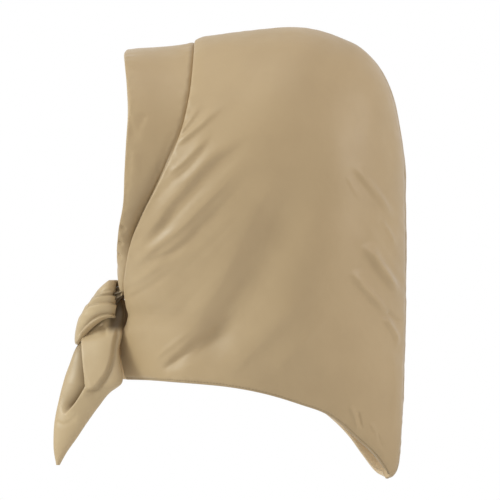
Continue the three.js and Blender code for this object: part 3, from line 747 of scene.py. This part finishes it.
def tail_rings(is_right):
    """Level sections of a pointed end."""
    rows = np.array(TAIL_TOP + TAIL, float)
    levels = np.linspace(rows[0, 0], rows[-1, 0], TAIL_LEVELS + 1)
    front_y, back_y, front_x, back_x, half = through(-rows[:, 0], rows[:, 1:])(-levels).T
    if is_right:
        below = smooth((NARROWED_BELOW[0] - levels) / NARROWED_BELOW[1])
        back_y = mix(front_y, back_y, mix(1, RIGHT_TAIL_WIDTH, below)) - 2 * PROFILE_TURN * below * back_x
        front_y = front_y - 2 * PROFILE_TURN * below * front_x
    front = np.stack([front_x, front_y, levels], axis=1)[:, None]
    back = np.stack([back_x, back_y, levels], axis=1)[:, None]
    middle, axis = (front + back) / 2, (front - back) / 2
    outward = unit(np.stack([-axis[..., 1], axis[..., 0], np.zeros_like(axis[..., 0])], axis=-1))
    turn = np.linspace(0, 2 * math.pi, TAIL_SIDES, endpoint=False)[None, :, None]
    rings = middle + axis * np.cos(turn) + outward * half[:, None, None] * np.sin(turn)
    u, v = profile(rings)
    outside = np.sin(turn[..., 0])
    heights, shade = layer_heights(u, v, TAIL_LAYERS)
    heights = heights + fold_heights(u, v, TAIL_FOLDS)
    heights = heights + TAIL_LUMPS[0] * rough(rings, TAIL_LUMPS[1], TAIL_SEED)
    share, most = TAIL_FAR_SIDE
    far_side = share * outside * np.clip(heights, -most, most)
    lift = np.where(outside > 0, heights * np.sqrt(np.abs(outside)), far_side)
    # Painted shade on the part in the gap behind the knot, and in its grooves
    gap_painted_shade = smooth((v - DARK_ABOVE[0]) / DARK_ABOVE[1]) * smooth((u - DARK_BEHIND[0]) / DARK_BEHIND[1])
    return rings + outward * lift[..., None], np.maximum(shade * (outside > 0), gap_painted_shade)


def tie_rings():
    """Sections of a gathered tie, as if it were the left one."""
    rows = along(TIE, 3)(np.linspace(0, 1, TIE_LEVELS + 1))
    centres = rows[:, :3]
    forward = unit(np.gradient(centres, axis=0))
    across = np.array(TIE_ACROSS)[None, :]
    across = unit(across - forward * dot(across, forward))
    up = np.cross(across, forward)
    turn = np.linspace(0, 2 * math.pi, TIE_SIDES, endpoint=False)[None, :, None]
    pleat = 1 + TIE_PLEAT * np.cos(TIE_PLEATS * turn)
    wide, half = rows[:, 3, None, None], rows[:, 4, None, None]
    out_across = across[:, None] * wide * pleat * np.cos(turn)
    out_up = up[:, None] * half * pleat * np.sin(turn)
    rings = centres[:, None] + out_across + out_up
    # Painted shade along it, rising from its end at the brim, as it lies in the gap behind the knot
    return rings, smooth(np.linspace(*TIE_DARK, TIE_LEVELS + 1))[:, None] * np.ones(TIE_SIDES)


def math_node(tree, operation, first, second=0.0):
    """The result for one or two values, each of them a number or an output."""
    node = tree.nodes.new("ShaderNodeMath")
    node.operation = operation
    for socket, value in zip(node.inputs, (first, second)):
        if isinstance(value, (int, float)):
            socket.default_value = value
        else:
            tree.links.new(value, socket)
    return node.outputs[0]


def ramp(tree, value, start, end, low=0.0, high=1.0):
    """A smooth step from low to high as a value goes from start to end."""
    node = tree.nodes.new("ShaderNodeMapRange")
    node.interpolation_type = "SMOOTHSTEP"
    tree.links.new(value, node.inputs["Value"])
    for name, number in (("From Min", start), ("From Max", end), ("To Min", low), ("To Max", high)):
        node.inputs[name].default_value = number
    return node.outputs["Result"]


def attribute(tree, name):
    node = tree.nodes.new("ShaderNodeAttribute")
    node.attribute_name = name
    return node.outputs["Fac"]


def noise_of(tree, scale, detail, distortion):
    """A noise pattern in the object's own space."""
    place = tree.nodes.new("ShaderNodeTexCoord")
    node = tree.nodes.new("ShaderNodeTexNoise")
    node.inputs["Scale"].default_value = scale
    node.inputs["Detail"].default_value = detail
    node.inputs["Distortion"].default_value = distortion
    tree.links.new(place.outputs["Object"], node.inputs["Vector"])
    return node.outputs["Fac"]


def threads_of(tree, direction):
    """One set of the weave's threads."""
    place = tree.nodes.new("ShaderNodeTexCoord")
    node = tree.nodes.new("ShaderNodeTexWave")
    node.wave_type = "BANDS"
    node.bands_direction = direction
    node.inputs["Scale"].default_value = THREADS
    node.inputs["Distortion"].default_value = THREAD_WAVER
    tree.links.new(place.outputs["Object"], node.inputs["Vector"])
    return node.outputs["Fac"]


def blend_colour(tree, share, first, second):
    """A mix of two colours, each of them a tuple or an output."""
    node = tree.nodes.new("ShaderNodeMix")
    node.data_type = "RGBA"
    tree.links.new(share, node.inputs["Factor"])
    for name, value in (("A", first), ("B", second)):
        if isinstance(value, tuple):
            node.inputs[name].default_value = (*value, 1)
        else:
            tree.links.new(value, node.inputs[name])
    return node.outputs["Result"]


def bump(tree, height, depth, strength, under=None):
    node = tree.nodes.new("ShaderNodeBump")
    node.inputs["Strength"].default_value = strength
    node.inputs["Distance"].default_value = depth * MM
    tree.links.new(height, node.inputs["Height"])
    if under:
        tree.links.new(under, node.inputs["Normal"])
    return node.outputs["Normal"]


def fabric(name, light, dark, stitched):
    """A smooth padded nylon: close shades, a fine weave, small creases, a soft sheen, painted shade, and if
    stitched a stitched hem, painted edge highlights and painted light inside.
    """
    material = bpy.data.materials.new(name)
    material.use_nodes = True
    tree = material.node_tree
    shader = tree.nodes["Principled BSDF"]
    shader.inputs["Specular IOR Level"].default_value = SPECULAR
    shader.inputs["Sheen Weight"].default_value = SHEEN[0]
    shader.inputs["Sheen Roughness"].default_value = SHEEN[1]
    patches = noise_of(tree, *SHADE_NOISE)
    colour = blend_colour(tree, ramp(tree, patches, *SHADE_RANGE), light, dark)
    # Painted shade: the colour turns towards a dark brown by each point's painted shade amount, in grooves,
    # gaps and along seams
    colour = blend_colour(tree, attribute(tree, "painted_shade"), colour, PAINTED_SHADE_COLOUR)
    gloss = ramp(tree, noise_of(tree, *GLOSS_NOISE), *GLOSS_RANGE, *ROUGHNESS)
    tree.links.new(gloss, shader.inputs["Roughness"])
    normal = bump(tree, noise_of(tree, *CREASE_NOISE), *CREASE_BUMP)
    weave = math_node(tree, "MAXIMUM", threads_of(tree, "Z"), threads_of(tree, "Y"))
    normal = bump(tree, weave, *WEAVE_BUMP, normal)
    if stitched:
        from_line = math_node(tree, "SUBTRACT", attribute(tree, "hem"), STITCH_LINE)
        aside = math_node(tree, "ABSOLUTE", from_line)
        turn = math_node(tree, "MULTIPLY", attribute(tree, "run"), 2 * math.pi / STITCH_LENGTH)
        thread = ramp(tree, math_node(tree, "SINE", turn), *STITCH_ENDS)
        stitch = math_node(tree, "MULTIPLY", ramp(tree, aside, STITCH_WIDTH, STITCH_CORE), thread)
        colour = blend_colour(tree, stitch, colour, THREAD)
        normal = bump(tree, stitch, *STITCH_BUMP, normal)
        # Painted highlight: paler on the lip of a panel's front edge
        painted_highlight = ramp(tree, attribute(tree, "run"), *PAINTED_HIGHLIGHT_EDGE, 0, PAINTED_HIGHLIGHT_STRENGTH)
        colour = blend_colour(tree, painted_highlight, colour, PAINTED_HIGHLIGHT)
        # Painted light: the inner faces paler, as if lit
        colour = blend_colour(tree, attribute(tree, "inner_face"), colour, PAINTED_INNER_LIGHT)
    tree.links.new(colour, shader.inputs["Base Color"])
    tree.links.new(normal, shader.inputs["Normal"])
    return material


def dress(piece, node, material):
    """Gives a piece its material, attaches it to the body, and hides the solid it stands for."""
    piece.data.materials.append(material)
    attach(piece, BODY)
    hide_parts(node)


def make_hood():
    panel_cloth = fabric("padded_nylon", *CLOTH, True)
    brim_cloth = fabric("brim_nylon", *CLOTH, False)
    # The knot, tails and ties get the cloth painted lighter, as if more lit
    tie_cloth_painted_lighter = fabric("tie_nylon_painted_lighter", *TIE_CLOTH_PAINTED_LIGHTER, False)
    for side, is_right in SIDES:
        outer, inner, sewn, sewn_normals, places = panel_surfaces(is_right)
        if is_right:
            outer, inner = mirrored(outer), mirrored(inner)
        else:
            rings, shade = brim_rings(sewn, sewn_normals)
        panel = wall_mesh("padded_panel_" + side, outer, inner, is_right, places)
        dress(panel, "hood_panel_" + side, panel_cloth)
    brim = loft_mesh("padded_brim", rings, False, shade)
    dress(brim, "brim_band", brim_cloth)
    outer, inner, places = wrap_surfaces()
    dress(wall_mesh("wrapped_knot", outer, inner, False, places), "knot_wrap", tie_cloth_painted_lighter)
    for side, is_right in SIDES:
        tail, shade = tail_rings(is_right)
        tie, gap_painted_shade = tie_rings()
        if is_right:
            tail, tie = mirrored(tail), mirrored(tie)
        tail_piece = loft_mesh("pointed_tail_" + side, tail, not is_right, shade)
        dress(tail_piece, "tail_" + side, tie_cloth_painted_lighter)
        tie_piece = loft_mesh("gathered_tie_" + side, tie, not is_right, gap_painted_shade)
        dress(tie_piece, "tie_" + side, tie_cloth_painted_lighter)


def make_stage():
    """A pale floor below the picture, and a pale room whose far wall is white."""
    mesh = bpy.data.meshes.new("floor")
    size, level = FLOOR_HALF_SIZE, FLOOR_LEVEL
    corners = [(-size, -size, level), (size, -size, level), (size, size, level), (-size, size, level)]
    mesh.from_pydata(corners, [], [(0, 1, 2, 3)])
    floor = bpy.data.objects.new("floor", mesh)
    bpy.context.scene.collection.objects.link(floor)
    paint = bpy.data.materials.new("pale_floor")
    paint.use_nodes = True
    shader = paint.node_tree.nodes["Principled BSDF"]
    shader.inputs["Base Color"].default_value = FLOOR_COLOUR
    shader.inputs["Roughness"].default_value = FLOOR_ROUGHNESS
    mesh.materials.append(paint)
    world = bpy.data.worlds.new("white_room")
    world.use_nodes = True
    tree = world.node_tree
    direction = tree.nodes.new("ShaderNodeTexCoord")
    parts = tree.nodes.new("ShaderNodeSeparateXYZ")
    tree.links.new(direction.outputs["Generated"], parts.inputs["Vector"])
    strength = ramp(tree, parts.outputs["X"], *FAR_WALL, 1, ROOM_DIM)
    tree.links.new(strength, tree.nodes["Background"].inputs["Strength"])
    tree.nodes["Background"].inputs["Color"].default_value = (1, 1, 1, 1)
    bpy.context.scene.world = world
    bpy.context.scene.view_settings.view_transform = "Standard"


def add_light(name, direction, size, power, colour):
    """A square soft light that looks at the middle of the hood."""
    light = bpy.data.lights.new(name, "AREA")
    light.size = size
    light.energy = power
    light.color = colour
    lamp = bpy.data.objects.new(name, light)
    middle = Vector((0, PICTURE_CENTRE[0] * MM, PICTURE_CENTRE[1] * MM))
    away = Vector(direction).normalized()
    lamp.location = middle + away * LIGHT_DISTANCE
    lamp.rotation_mode = "QUATERNION"
    lamp.rotation_quaternion = away.to_track_quat("Z", "Y")
    bpy.context.scene.collection.objects.link(lamp)


def add_camera():
    data = bpy.data.cameras.new("camera")
    data.sensor_width = SENSOR
    data.lens = SENSOR * CAMERA_DISTANCE / PICTURE_WIDTH
    data.clip_end = 100
    camera = bpy.data.objects.new("camera", data)
    turn = math.radians(CAMERA_AZIMUTH)
    away = Vector((math.sin(turn), -math.cos(turn), 0))
    right = Vector((math.cos(turn), math.sin(turn), 0))
    target = right * PICTURE_CENTRE[0] + Vector((0, 0, PICTURE_CENTRE[1]))
    camera.location = (target + away * CAMERA_DISTANCE) * MM
    camera.rotation_mode = "QUATERNION"
    camera.rotation_quaternion = away.to_track_quat("Z", "Y")
    bpy.context.scene.collection.objects.link(camera)
    bpy.context.scene.camera = camera


add_camera()
make_hood()
make_stage()
for light_row in LIGHTS:
    add_light(*light_row)
